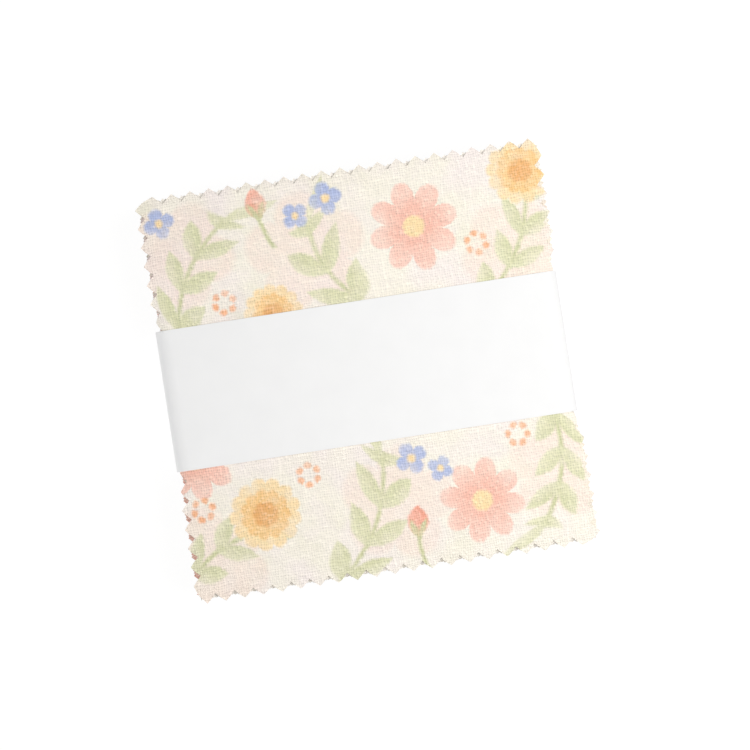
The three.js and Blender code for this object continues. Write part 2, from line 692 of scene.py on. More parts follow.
    def seeds(self, spot: Spot, count: int = 6, ring: float = 0.7, size: float = 0.62) -> None:
        """Prints a ring of little orange seeds.

        Args:
            spot: The ring's place; its size is the radius.
            count: How many seeds there are.
            ring: Where the seeds' middles lie, as a share of the radius.
            size: How large a seed is.
        """
        radius, angle = self.polar(*self.place(spot))
        narrowed_across, narrowed_along = self.SEED_NARROWING
        across = angle.repeat(2 * math.pi / count) * narrowed_across
        along = (radius - ring) * narrowed_along
        mask = (size - (across * across + along * along).root()).edge(softness=0.45)
        self.ink(mask * self.tone, ORANGE)

    def bud(self, spot: Spot) -> None:
        """Prints a coral bud on a short bowed stem, held in two green sepals.

        Args:
            spot: The bud's place; its size is the unit of its other sizes.
        """
        soft = self.BLEED / spot.size
        x, y = self.place(spot)
        stem = self.BUD_STEM_HALF_WIDTH - abs(y + (x * x) * self.BUD_STEM_BOW)
        self.ink(stem.least(x - self.BUD_STEM_START).least(self.BUD_STEM_END - x).edge(soft), SAGE)
        bloom = self.leaf_shape(x - self.BUD_START, y, length=1.5, width=0.98, soft=soft)
        self.ink(bloom * self.tone, CORAL)
        outward = abs(y) - x * self.SEPAL_LEAN - self.SEPAL_GAP
        sepals = self.leaf_shape(x - self.SEPAL_START, outward, length=1.0, width=0.34, soft=soft)
        self.ink(sepals * self.tone, SAGE)

    def wash(self, stain: Stain) -> None:
        """Lays a soft uneven stain.

        Args:
            stain: The stain.
        """
        level = noise_of(self.tree, self.cloth, stain.scale, self.STAIN_DETAIL)
        middle = (stain.low + stain.high) / 2
        self.ink((level - middle).edge(stain.high - stain.low) * stain.strength, stain.colour)

    def grid(self, pitch: float) -> tuple[Field, Field]:
        """Makes a staggered repeat.

        Args:
            pitch: The repeat, in millimetres.

        Returns:
            The place inside one repeat, in millimetres.
        """
        x, y = split(self.tree, self.cloth)
        row = (y * (1 / pitch)).floor()
        return (x + row * (pitch / 2)).repeat(pitch), (y - pitch / 2).repeat(pitch)


@dataclass(frozen=True)
class Meadow:
    """The layout of the top square's print, from its middle."""

    stains: tuple[Stain, ...] = (
        Stain(0.06, 0.48, 0.64, 0.45, HAZE),
        Stain(0.09, 0.60, 0.74, 0.22, SAGE_PALE),
        Stain(0.24, 0.44, 0.66, 0.24, HAZE),
        Stain(0.19, 0.52, 0.72, 0.12, SAGE_PALE),
    )
    ghosts: tuple[Spot, ...] = (
        Spot(-6.5, 19.5, 20, 9.5),
        Spot(25.0, 15.0, 50, 8.0),
        Spot(1.5, -21.0, 5, 9.0),
        Spot(-27.5, -25.0, 35, 8.5),
        Spot(27.0, -19.5, 80, 8.0),
        Spot(-26.0, 22.0, 60, 8.5),
    )
    sprigs: tuple[Stem, ...] = (
        Stem(-28.0, 10.5, 58, 19.0, 3, 0.11),
        Stem(20.0, 8.5, 62, 18.0, 3, -0.11),
        Stem(-9.0, -31.5, 64, 21.0, 3, -0.12),
        Stem(27.5, -10.5, -104, 18.0, 3, 0.11),
        Stem(-31.5, -27.5, 26, 12.5, 2, 0.10),
        Stem(1.0, 11.0, 116, 15.0, 2, 0.13),
    )
    daisies: tuple[Spot, ...] = (
        Spot(10.5, 21.0, 12, 7.0),
        Spot(14.5, -22.5, 31, 6.6),
        Spot(-28.5, -9.5, 5, 6.4),
    )
    marigolds: tuple[Spot, ...] = (
        Spot(-19.0, -19.5, 0, 5.6),
        Spot(28.0, 27.0, 20, 5.2),
        Spot(-13.0, 11.0, 50, 4.6),
    )
    posies: tuple[Spot, ...] = (
        Spot(-2.4, 27.4, 10, 2.6),
        Spot(-7.4, 25.4, 40, 2.1),
        Spot(4.6, -14.4, 25, 2.5),
        Spot(8.8, -16.6, 60, 2.0),
        Spot(-28.4, 27.4, 15, 2.4),
    )
    buds: tuple[Spot, ...] = (
        Spot(-13.0, 26.5, 96, 3.3),
        Spot(4.0, -25.8, 84, 3.3),
    )
    seed_rings: tuple[Spot, ...] = (
        Spot(19.7, 17.0, 157.6, 2.1),
        Spot(-28.4, -17.4, -227.2, 2.1),
        Spot(-11.5, -14.5, -92.0, 2.1),
        Spot(21.5, -13.2, 172.0, 2.1),
        Spot(-20.3, 13.8, -162.4, 2.1),
    )

    def print_on(self, table: PrintTable) -> None:
        """Prints the layout from the ground up.

        Args:
            table: The print table with the cloth.
        """
        layers = (
            (table.wash, self.stains),
            (table.ghost, self.ghosts),
            (table.sprig, self.sprigs),
            (table.daisy, self.daisies),
            (table.marigold, self.marigolds),
            (table.posy, self.posies),
            (table.bud, self.buds),
            (table.seeds, self.seed_rings),
        )
        for put, places in layers:
            for place in places:
                put(place)


class PrintKind(Enum):
    """The prints of the squares."""

    MEADOW = "meadow"
    DOTS = "dots"
    STRIPES = "stripes"
    GINGHAM = "gingham"
    POSIES = "posies"
    LEAVES = "leaves"
    PLAIN = "plain"


@dataclass(frozen=True)
class CottonFinish:
    """Printed plain-weave cotton: a ground, a motif colour and the kind of print."""

    name: str
    kind: PrintKind
    ground: Colour
    motif: Colour
    weave: Weave = Weave()
    relief: float = 0.048 * MM
    roughness: float = 0.92
    gloss: float = 0.18
    sheen: float = 0.08
    sheen_roughness: float = 0.5
    show_through: float = 0.3
    full_ink: float = 0.35
    # How much stronger the weave's shade, painted shade between the threads included, is on inked cloth
    ink_shade_contrast: float = 0.5

    def print_meadow(self, table: PrintTable) -> None:
        """Prints the flowers of the top square."""
        Meadow().print_on(table)

    def print_dots(self, table: PrintTable, pitch: float = 3.6, radius: float = 0.85) -> None:
        """Prints staggered dots, with their pitch and radius in millimetres."""
        x, y = table.grid(pitch)
        table.ink((radius - (x * x + y * y).root()).edge(table.BLEED), self.motif)

    def print_stripes(self, table: PrintTable, pitch: float = 4.2,
                      wide: float = 0.8, thin: float = 0.18) -> None:
        """Prints stripes of two widths, turn by turn.

        Args:
            table: The print table with the cloth.
            pitch: The repeat, in millimetres.
            wide: Half the width of a wide stripe, in millimetres.
            thin: Half the width of a thin stripe, in millimetres.
        """
        x, _ = split(table.tree, table.cloth)
        for shift, half_width in ((0.0, wide), (pitch / 2, thin)):
            from_middle = abs((x - shift).repeat(pitch))
            table.ink((half_width - from_middle).edge(table.BLEED), self.motif)

    def print_gingham(self, table: PrintTable, pitch: float = 5.0, strength: float = 0.5) -> None:
        """Prints a small two-way check.

        Args:
            table: The print table with the cloth.
            pitch: The repeat, in millimetres; a band is half as wide.
            strength: How strong the ink of one band is.
        """
        for place in split(table.tree, table.cloth):
            band = (pitch / 4 - abs(place.repeat(pitch))).edge(table.BLEED)
            table.ink(band * strength, self.motif)

    def print_posies(self, table: PrintTable, pitch: float = 6.0, petals: int = 5) -> None:
        """Prints small staggered flowers.

        Args:
            table: The print table with the cloth.
            pitch: The repeat, in millimetres.
            petals: How many petals a flower has.
        """
        waist, petal, eye = 1.1, 0.9, 0.5
        radius, angle = table.polar(*table.grid(pitch))
        lobes = abs((angle * (petals / 2)).cos()) ** table.PETAL_ROUNDNESS
        table.ink((lobes * petal + waist - radius).edge(table.BLEED), self.motif)
        table.ink((eye - radius).edge(table.BLEED), GOLD_PALE)

    def print_leaves(self, table: PrintTable, pitch: float = 5.0, slant: float = 0.6) -> None:
        """Prints small staggered leaves.

        Args:
            table: The print table with the cloth.
            pitch: The repeat, in millimetres.
            slant: How far the leaves slant.
        """
        x, y = table.grid(pitch)
        length = 3.8
        leaf_x = x + y * slant + length / 2
        leaf = table.leaf_shape(leaf_x, y - x * slant, length, width=1.5, soft=table.BLEED)
        table.ink(leaf, self.motif)

    def print_plain(self, table: PrintTable) -> None:
        """Prints a mottled single colour."""
        table.wash(Stain(scale=0.2, low=0.35, high=0.65, strength=0.35, colour=self.motif))

    def print_on(self, table: PrintTable) -> None:
        """Prints the cloth with its own kind of print.

        Args:
            table: The print table with the cloth.
        """
        prints = {
            PrintKind.MEADOW: self.print_meadow,
            PrintKind.DOTS: self.print_dots,
            PrintKind.STRIPES: self.print_stripes,
            PrintKind.GINGHAM: self.print_gingham,
            PrintKind.POSIES: self.print_posies,
            PrintKind.LEAVES: self.print_leaves,
            PrintKind.PLAIN: self.print_plain,
        }
        prints[self.kind](table)

    def thread_shade(self, table: PrintTable, shade: Field) -> Field:
        """Makes the weave's shade, its painted shade between the threads included, stronger where the cloth
        is inked.

        Args:
            table: The print table with the finished print.
            shade: The weave's shade on bare cloth.

        Returns:
            The shade by which the colour is multiplied.
        """
        apart = table.tree.nodes.new("ShaderNodeVectorMath")
        apart.operation = "DISTANCE"
        apart.inputs[1].default_value = self.ground
        table.tree.links.new(table.printed, apart.inputs[0])
        inked = (Field(table.tree, apart.outputs["Value"]) * (1 / self.full_ink)).least(1.0)
        return (shade - 1.0) * (inked * self.ink_shade_contrast + 1.0) + 1.0

    def make(self) -> Material:
        """Makes the material.

        Returns:
            Cotton with its print on the right side, a paler wrong side, a woven relief, and painted shade
            between the threads and a painted highlight on their tops in its colour.
        """
        material, surface = plain_material(self.name, {
            "Roughness": self.roughness,
            "Specular IOR Level": self.gloss,
            "Sheen Weight": self.sheen,
            "Sheen Roughness": self.sheen_roughness,
        })
        tree = material.node_tree
        cloth = tree.nodes.new("ShaderNodeUVMap")
        cloth.uv_map = CLOTH_MAP
        weave = tree.nodes.new("ShaderNodeGroup")
        weave.node_tree = self.weave.group()
        tree.links.new(cloth.outputs[0], weave.inputs["Cloth"])
        height, shade, highlight_and_bare = (Field(tree, weave.outputs[name]) for name in ("Height", "Shade", "HighlightAndBare"))

        table = PrintTable(tree, weave.outputs["Ink"], self.ground)
        self.print_on(table)
        # Pales the ink towards the ground: painted highlight on the thread tops and random bare stitches
        table.ink(highlight_and_bare, self.ground)
        side = tree.nodes.new("ShaderNodeAttribute")
        side.attribute_name = PRINTED_SIDE
        right_side = Field(tree, side.outputs["Fac"]) * (1 - self.show_through) + self.show_through
        shaded = tree.nodes.new("ShaderNodeVectorMath")
        shaded.operation = "SCALE"
        tree.links.new(blend(right_side, GREIGE, table.printed), shaded.inputs[0])
        tree.links.new(self.thread_shade(table, shade).socket, shaded.inputs["Scale"])
        tree.links.new(shaded.outputs[0], surface.inputs["Base Color"])
        emboss(height, self.relief, surface)
        return material


@dataclass(frozen=True)
class PaperFinish:
    """Smooth uncoated white paper with a faint cloudiness and a fine tooth."""

    name: str = "band_paper"
    colour: Colour = (0.808, 0.808, 0.808)
    cloud: Colour = (0.790, 0.790, 0.790)
    cloud_scale: float = 260.0
    cloud_detail: float = 4.0
    cloud_softness: float = 0.5
    tooth_scale: float = 5200.0
    tooth_detail: float = 3.0
    relief: float = 0.006 * MM
    roughness: float = 0.62
    gloss: float = 0.3

    def make(self) -> Material:
        """Makes the material.

        Returns:
            The paper's material.
        """
        material, surface = plain_material(self.name, {
            "Roughness": self.roughness,
            "Specular IOR Level": self.gloss,
        })
        tree = material.node_tree
        place = tree.nodes.new("ShaderNodeTexCoord").outputs["Object"]
        clouds = noise_of(tree, place, self.cloud_scale, self.cloud_detail, flat=False)
        mottled = blend((clouds - 0.5).edge(self.cloud_softness), self.colour, self.cloud)
        tree.links.new(mottled, surface.inputs["Base Color"])
        emboss(noise_of(tree, place, self.tooth_scale, self.tooth_detail, flat=False), self.relief, surface)
        return material


@dataclass(frozen=True)
class PinkedCut:
    """The pinked outline of a square; its first tips are measured from the corner where a side starts."""

    side: float = 63.5 * MM
    teeth: int = 21
    pitch: float = 2.94 * MM
    depth: float = 1.4 * MM
    first_tip: float = 1.75 * MM
    first_upright_tip: float = 1.75 * MM
    bluntness: float = 1.2
    corner_pull: float = 0.42
    inner_row: float = 1.8 * MM
    fan_steps: int = 2

    @property
    def cells(self) -> int:
        """How many half teeth there are along a side, with the two corners."""
        return 2 * self.teeth

    def station(self, step: float, first: float) -> float:
        """How far along a side a step lies.

        Args:
            step: The step from the side's first corner; odd whole steps are tips.
            first: How far the first tip is from that corner.

        Returns:
            The distance from that corner.
        """
        last = first + (self.teeth - 1) * self.pitch
        if step <= 1:
            return step * first
        if step >= self.cells - 1:
            return last + (step - self.cells + 1) * (self.side - last)
        return first + (step - 1) * self.pitch / 2

    def even(self, step: float) -> float:
        """How far from the first side a row of the inner mesh lies.

        Args:
            step: The row's number.

        Returns:
            The distance from that side.
        """
        if step <= 1:
            return step * self.inner_row
        if step >= self.cells - 1:
            return self.side - (self.cells - step) * self.inner_row
        return self.inner_row + (step - 1) * (self.side - 2 * self.inner_row) / (self.cells - 2)

    def notch(self, step: float) -> float:
        """How deep the cut is at a step along a side.

        Args:
            step: The step from the side's first corner.

        Returns:
            The depth below the line through the tips.
        """
        if step <= 1 or step >= self.cells - 1:
            return 0.0
        return self.depth * abs(step % 2 - 1) ** self.bluntness

    def flat_point(self, column: float, row: float) -> Vector:
        """Where a grid point lies on the flat cut square.

        Args:
            column: Steps from the left side.
            row: Steps from the front side.

        Returns:
            The point, from the square's centre.
        """
        far = self.cells
        inner = Vector((self.even(column), self.even(row), 0))
        front = self.station(column, self.first_tip)
        back = self.side - self.station(far - column, self.first_tip)
        right = self.station(row, self.first_upright_tip)
        left = self.side - self.station(far - row, self.first_upright_tip)
        near_left, near_right, near_front, near_back = (
            max(0.0, 1 - steps / self.fan_steps) for steps in (column, far - column, row, far - row))
        at_left, at_right, at_front, at_back = (
            max(0.0, 1 - steps) for steps in (column, far - column, row, far - row))
        point = inner.copy()
        point.x += (front - inner.x) * near_front + (back - inner.x) * near_back
        point.y += (left - inner.y) * near_left + (right - inner.y) * near_right
        point.y += self.notch(column) * at_front - self.notch(far - column) * at_back
        point.x += self.notch(far - row) * at_left - self.notch(row) * at_right
        level_start = self.first_tip * self.corner_pull
        level_end = (self.side - self.station(far - 1, self.first_tip)) * self.corner_pull
        upright_start = self.first_upright_tip * self.corner_pull
        upright_end = (self.side - self.station(far - 1, self.first_upright_tip)) * self.corner_pull
        point += Vector((level_start, upright_end, 0)) * (at_front * at_left - at_back * at_right)
        point += Vector((level_end, -upright_start, 0)) * (at_back * at_left - at_front * at_right)
        return point - Vector((self.side / 2, self.side / 2, 0))


@dataclass(frozen=True)
class StackLie:
    """How the stack lies: pressed flat under the band, with loose wings in front and behind."""

    count: int = 42
    pitch: float = 0.283 * MM
    paper: float = 0.24 * MM
    pressed_half_width: float = 11.4 * MM
    wing_run: float = 8.5 * MM
    held_share: float = 0.6
    front_rise: float = 0.55 * MM
    back_rise: float = 0.8 * MM
    sway: float = 0.45
    sway_scales: tuple[float, float] = (28, 14)
    sway_layer: float = 3.7
    wave: float = 0.16 * MM
    wave_scales: tuple[float, float] = (75, 75)
    wave_layer: float = 11.2
    corner_curl: float = 0.25 * MM
    curl_sharpness: int = 5
    edge_roll: float = 0.32 * MM
    edge_roll_width: float = 1.6 * MM
    half_side: float = 31.75 * MM
    left_limit: float = 31.45 * MM
    right_limit: float = 31.05 * MM
    limit_sharpness: float = 60.0
    fold_radius: float = 2.2 * MM
    fold_reach: float = 0.94
    looseness: float = 0.05
    loose_scales: tuple[float, float] = (60, 60)
    loose_layers: float = 5.31

    def wing(self, y: float) -> float:
        """How free of the band the cloth is at y, from 0 to 1."""
        return smooth_rise(abs(y), self.pressed_half_width, self.pressed_half_width + self.wing_run)

    def held(self, y: float) -> float:
        """How firmly the band's folds hold the ends of the cloth at y, from 0 to 1."""
        let_go = self.pressed_half_width + self.held_share * self.wing_run
        return 1 - smooth_rise(abs(y), self.pressed_half_width, let_go)

    def limit(self, x: float) -> float:
        """How far the band lets the cloth reach on the side where x lies."""
        return self.right_limit if x > 0 else self.left_limit

    def drawn_in(self, x: float, y: float) -> float:
        """Where the band pushes a point of the cloth along its own length.

        Args:
            x: The place along the band that the point would have if it were free.
            y: The place across it.

        Returns:
            The place along the band.
        """
        over = (abs(x) / self.limit(x)) ** self.limit_sharpness
        pushed = x * (1 + over) ** (-1 / self.limit_sharpness)
        return x + (pushed - x) * self.held(y)

    def end_pinch(self, x: float, y: float) -> float:
        """How far the band's round fold draws the stack in, from above and below, at its two ends.

        Args:
            x: The place along the band.
            y: The place across it.

        Returns:
            The dip.
        """
        past_fold = max(0.0, abs(x) - (self.limit(x) - self.fold_radius))
        into_fold = min(self.fold_reach * self.fold_radius, past_fold)
        dip = self.fold_radius - math.sqrt(self.fold_radius ** 2 - into_fold ** 2)
        return dip * self.held(y)

    def bottom(self, x: float, y: float) -> float:
        """The height of the stack's underside at a place."""
        return self.paper * (1 - self.wing(y)) + self.end_pinch(x, y)

    def top(self, x: float, y: float) -> float:
        """The height of the stack's upper side at a place.

        Args:
            x: The place along the band.
            y: The place across it.

        Returns:
            The height above the table.
        """
        pressed = self.paper + self.count * self.pitch - self.end_pinch(x, y)
        rise = self.back_rise if y > 0 else self.front_rise
        swaying = 1 + self.sway * uneven(x, y, self.sway_scales, self.sway_layer)
        ripple = self.wave * uneven(x, y, self.wave_scales, self.wave_layer)
        near_edge = max(0.0, max(abs(x), abs(y)) - self.half_side + self.edge_roll_width)
        roll = self.edge_roll * (near_edge / self.edge_roll_width) ** 2
        curl = self.corner_curl
        for place in (x, y):
            curl *= (abs(place) / self.half_side) ** self.curl_sharpness
        return pressed + self.wing(y) * (rise * swaying + ripple - roll) + curl

    def height(self, level: float, x: float, y: float) -> float:
        """The height of one square at a place.

        Args:
            level: The square's number from the bottom, from 0.
            x: The place along the band.
            y: The place across it.

        Returns:
            The height of the square's middle.
        """
        loose = self.looseness * uneven(x, y, self.loose_scales, level * self.loose_layers)
        share = (level + 0.5 + loose) / self.count
        low = self.bottom(x, y)
        return low + (self.top(x, y) - low) * share


@dataclass(frozen=True)
class Stray:
    """How far a square lies off the middle of the stack: millimetres along and across, and degrees."""

    along: float
    across: float
    turn: float


@dataclass
class CottonSquare:
    """One pinked square, with its place in the stack."""

    name: str
    level: int
    node: str
    slot: str
    finish: CottonFinish
    cut: PinkedCut
    stray: Stray
    fineness: int = 1
    thickness: float = 0.25 * MM
    raggedness: float = 0.07 * MM
    flat_area: float = field(init=False, default=0.0)

    def build(self, lie: StackLie) -> bpy.types.Object:
        """Cuts the square flat, gives it its thickness and lays it in the stack.

        Args:
            lie: How the stack lies.

        Returns:
            The square's object.
        """
        shape = bmesh.new()
        self.cut_flat(shape)
        bmesh.ops.solidify(shape, geom=shape.faces[:], thickness=self.thickness)
        bmesh.ops.recalc_face_normals(shape, faces=shape.faces[:])
        printed = shape.faces.layers.float.new(PRINTED_SIDE)
        for face in shape.faces:
            face[printed] = 0.5 + 0.5 * face.normal.z
        shade_smooth(shape)
        self.lay(shape, lie)
        return piece_of(shape, self.name)

    def cut_flat(self, shape: bmesh.types.BMesh) -> None:
        """Cuts the square flat, with slightly ragged edges, and keeps each place on the cloth.

        Args:
            shape: The mesh to cut it in.
        """
        cells = self.cut.cells * self.fineness
        bmesh.ops.create_grid(shape, x_segments=cells, y_segments=cells, size=self.cut.side / 2)
        steps = self.cut.cells / self.cut.side
        for vert in shape.verts:
            column, row = (round((place * steps + self.cut.cells / 2) * self.fineness) / self.fineness
                           for place in vert.co.xy)
            vert.co = self.cut.flat_point(column, row)
            if vert.is_boundary:
                snag = noise.noise_vector(Vector((vert.co.x, vert.co.y, self.level * MM)) / MM)
                vert.co.xy += snag.xy * self.raggedness
        places = shape.loops.layers.uv.new(CLOTH_MAP)
        for face in shape.faces:
            for loop in face.loops:
                loop[places].uv = loop.vert.co.xy / MM
        self.flat_area = sum(face.calc_area() for face in shape.faces)

    def lay(self, shape: bmesh.types.BMesh, lie: StackLie) -> None:
        """Turns and shifts the flat square and lets it down on the stack.

        Args:
            shape: The square's mesh.
            lie: How the stack lies.
        """
        middle = sum(vert.co.z for vert in shape.verts) / len(shape.verts)
        turned = Matrix.Rotation(math.radians(self.stray.turn), 4, "Z")
        shifted = Matrix.Translation(Vector((self.stray.along, self.stray.across, 0)) * MM)
        bmesh.ops.transform(shape, matrix=shifted @ turned, verts=shape.verts[:])
        for vert in shape.verts:
            vert.co.x = lie.drawn_in(vert.co.x, vert.co.y)
            vert.co.z += lie.height(self.level, vert.co.x, vert.co.y) - middle

    def dress(self, square: bpy.types.Object, below: str) -> None:
        """Args:
            square: The square's object.
            below: The name of the piece that it lies on; not used.
        """
        square.data.materials.append(self.finish.make())
        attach(square, BODY)
        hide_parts(self.node)


@dataclass(frozen=True)
class SheafLook:
    """One sheaf of squares: its colours, lightest first, and how it lies as a whole."""

    node: str
    slot: str
    pale: Colour
    mid: Colour
    deep: Colour
    stray: Stray


@dataclass(frozen=True)
class Showing:
    """A plain square that shows in the notches of the top one.

    Its side, and by how much its front and back teeth and its left and right teeth are out of step
    with the top square's, are in millimetres.
    """

    ground: Colour
    motif: Colour
    stray: Stray
    side: float
    level_phase: float
    upright_phase: float


@dataclass
class SquareStack:
    """The stack of squares, from the bottom up."""

    lie: StackLie = StackLie()
    top_cut: PinkedCut = PinkedCut()
    squares_per_sheaf: int = 6
    lower_side: float = 61.9
    side_spread: float = 0.15
    level_phases: tuple[float, float] = (-0.4, 1.1)
    upright_phases: tuple[float, float] = (-0.4, 1.7)
    usual: Stray = Stray(0.08, 0.10, 0.06)
    top_usual: Stray = Stray(0.03, 0.05, 0.02)
    farthest: float = 2.0
    top_fineness: int = 2
    sheaves: tuple[SheafLook, ...] = (
        SheafLook("sheaf_1", "cotton_cream", CREAM, BLUSH, CORAL_PALE, Stray(0.04, -0.25, 0.30)),
        SheafLook("sheaf_2", "cotton_blue", CREAM, BLUE_PALE, BLUE, Stray(-0.06, 0.20, -0.35)),
        SheafLook("sheaf_3", "cotton_sage", CREAM, SAGE_PALE, SAGE_DEEP, Stray(0.08, 0.05, 0.20)),
        SheafLook("sheaf_4", "cotton_gold", CREAM, GOLD_PALE, GOLD, Stray(-0.03, -0.20, -0.15)),
        SheafLook("sheaf_5", "cotton_rose", BLUSH, MAUVE, ROSE, Stray(0.05, 0.25, 0.35)),
        SheafLook("sheaf_6", "cotton_coral", BLUSH, CORAL_PALE, CORAL, Stray(-0.08, -0.10, -0.25)),
        SheafLook("sheaf_7", "cotton_floral", CREAM, CREAM, BLUSH, Stray(0.02, 0.05, 0.10)),
    )
    showing: tuple[Showing, ...] = (
        Showing(CORAL_SOFT, BLUSH, Stray(-0.42, 0.10, -0.44), 61.9, 0.0, 0.55),
        Showing(CORAL_SOFT, CORAL, Stray(-0.46, 0.10, -0.42), 61.9, 0.0, 1.85),
        Showing(CORAL_SOFT, BLUSH, Stray(-0.42, 0.10, -0.44), 61.9, 0.0, 1.45),
        Showing(CORAL_SOFT, CORAL, Stray(-0.46, 0.10, -0.42), 61.9, 0.0, 1.0),
        Showing(HAZE, GREIGE, Stray(0.03, 0.0, 0.68), 62.1, 0.0, 1.75),
        Showing(GREIGE, HAZE, Stray(0.03, 0.0, 0.66), 62.1, 0.0, 0.95),
        Showing(HAZE, BLUSH, Stray(0.03, 0.0, 0.70), 62.1, 0.0, 1.45),
        Showing(CREAM, BLUSH, Stray(0.50, 0.05, -0.10), 62.0, 1.8, 0.97),
        Showing(CREAM, BLUSH, Stray(0.55, -0.05, 0.10), 62.0, 1.05, 1.85),
        Showing(MILK, CREAM, Stray(0.0, 0.0, 0.05), 62.2, 1.45, 0.0),
        Showing(MILK, CREAM, Stray(0.0, 0.0, 0.04), 62.3, -0.85, 0.0),
        Showing(MILK, CREAM, Stray(0.05, 0.06, -0.06), 62.3, 1.08, 0.0),
        Showing(MILK, CREAM, Stray(0.38, 0.30, 0.0), 62.0, 1.78, 0.0),
    )

    def finish_of(self, look: SheafLook, number: int, name: str) -> CottonFinish:
        """Chooses the print of one square.

        Args:
            look: Its sheaf's colours.
            number: Its number in the sheaf, from the bottom.
            name: The material's name.

        Returns:
            The square's finish.
        """
        kinds = (PrintKind.DOTS, PrintKind.POSIES, PrintKind.PLAIN,
                 PrintKind.GINGHAM, PrintKind.LEAVES, PrintKind.STRIPES)
        pairs = ((look.pale, look.deep), (look.deep, look.pale), (look.mid, look.deep),
                 (look.pale, look.mid), (look.mid, look.pale), (look.deep, look.mid))
        first_kind = 1 + self.sheaves.index(look)
        return CottonFinish(name, kinds[(number + first_kind) % len(kinds)], *pairs[number])

    def squares(self) -> list[CottonSquare]:
        """Lists the squares with their cuts, their looks and their small strays.

        Returns:
            The squares, from the bottom up.
        """
        chance = random.Random(SEED)
        made = []
        top_level = self.lie.count - 1
        first_showing = top_level - len(self.showing)
        for level in range(self.lie.count):
            look = self.sheaves[level // self.squares_per_sheaf]
            finish = self.finish_of(look, level % self.squares_per_sheaf, f"cotton_{level + 1:02d}")
            side = self.lower_side + chance.uniform(-1, 1) * self.side_spread
            cut = self.cut_of(side, chance.uniform(*self.level_phases), chance.uniform(*self.upright_phases))
            stray = self.drawn_stray(chance, look.stray, self.usual)
            fineness = 1
            if level == top_level:
                finish = replace(finish, kind=PrintKind.MEADOW, ground=CREAM)
                cut = self.top_cut
                stray = self.drawn_stray(chance, look.stray, self.top_usual)
                fineness = self.top_fineness
            elif level >= first_showing:
                row = self.showing[level - first_showing]
                finish = replace(finish, kind=PrintKind.PLAIN, ground=row.ground, motif=row.motif)
                cut = self.cut_of(row.side, row.level_phase, row.upright_phase)
                stray = row.stray
            name = f"square_{level + 1:02d}"
            made.append(CottonSquare(name, level, look.node, look.slot, finish, cut, stray, fineness))
        return made

    def cut_of(self, side: float, level_phase: float, upright_phase: float) -> PinkedCut:
        """Cuts a square so that its teeth are out of step with those of the top square.

        Args:
            side: The length of its sides, in millimetres.
            level_phase: By how much its front and back teeth are out of step, in millimetres.
            upright_phase: By how much its left and right teeth are out of step, in millimetres.

        Returns:
            The cut.
        """
        in_step = self.top_cut.first_tip - (self.top_cut.side - side * MM) / 2
        return replace(self.top_cut, side=side * MM, first_tip=in_step + level_phase * MM,
                       first_upright_tip=in_step + upright_phase * MM)

    def drawn_stray(self, chance: random.Random, mean: Stray, usual: Stray) -> Stray:
        """Draws a square's own stray.

        Args:
            chance: The source of chance.
            mean: The stray of the whole sheaf.
            usual: How far a square usually lies off its sheaf.

        Returns:
            The stray, kept within a few times the usual one of its sheaf.
        """
        means = (mean.along, mean.across, mean.turn)
        spreads = (usual.along, usual.across, usual.turn)
        return Stray(*(middle + spread * min(self.farthest, max(-self.farthest, chance.gauss(0, 1)))
                       for middle, spread in zip(means, spreads)))

    def build(self, underside: str) -> list[bpy.types.Object]:
        """Builds and dresses every square.

        Args:
            underside: The name of the piece that the bottom square lies on.

        Returns:
            The squares' objects, from the bottom up.
        """
        made = []
        below = underside
        for square in self.squares():
            piece = square.build(self.lie)
            square.dress(piece, below)
            LOG.info("%s: %s, %d faces", piece.name, square.finish.kind.value, len(piece.data.polygons))
            below = piece.name
            made.append(piece)
        return made


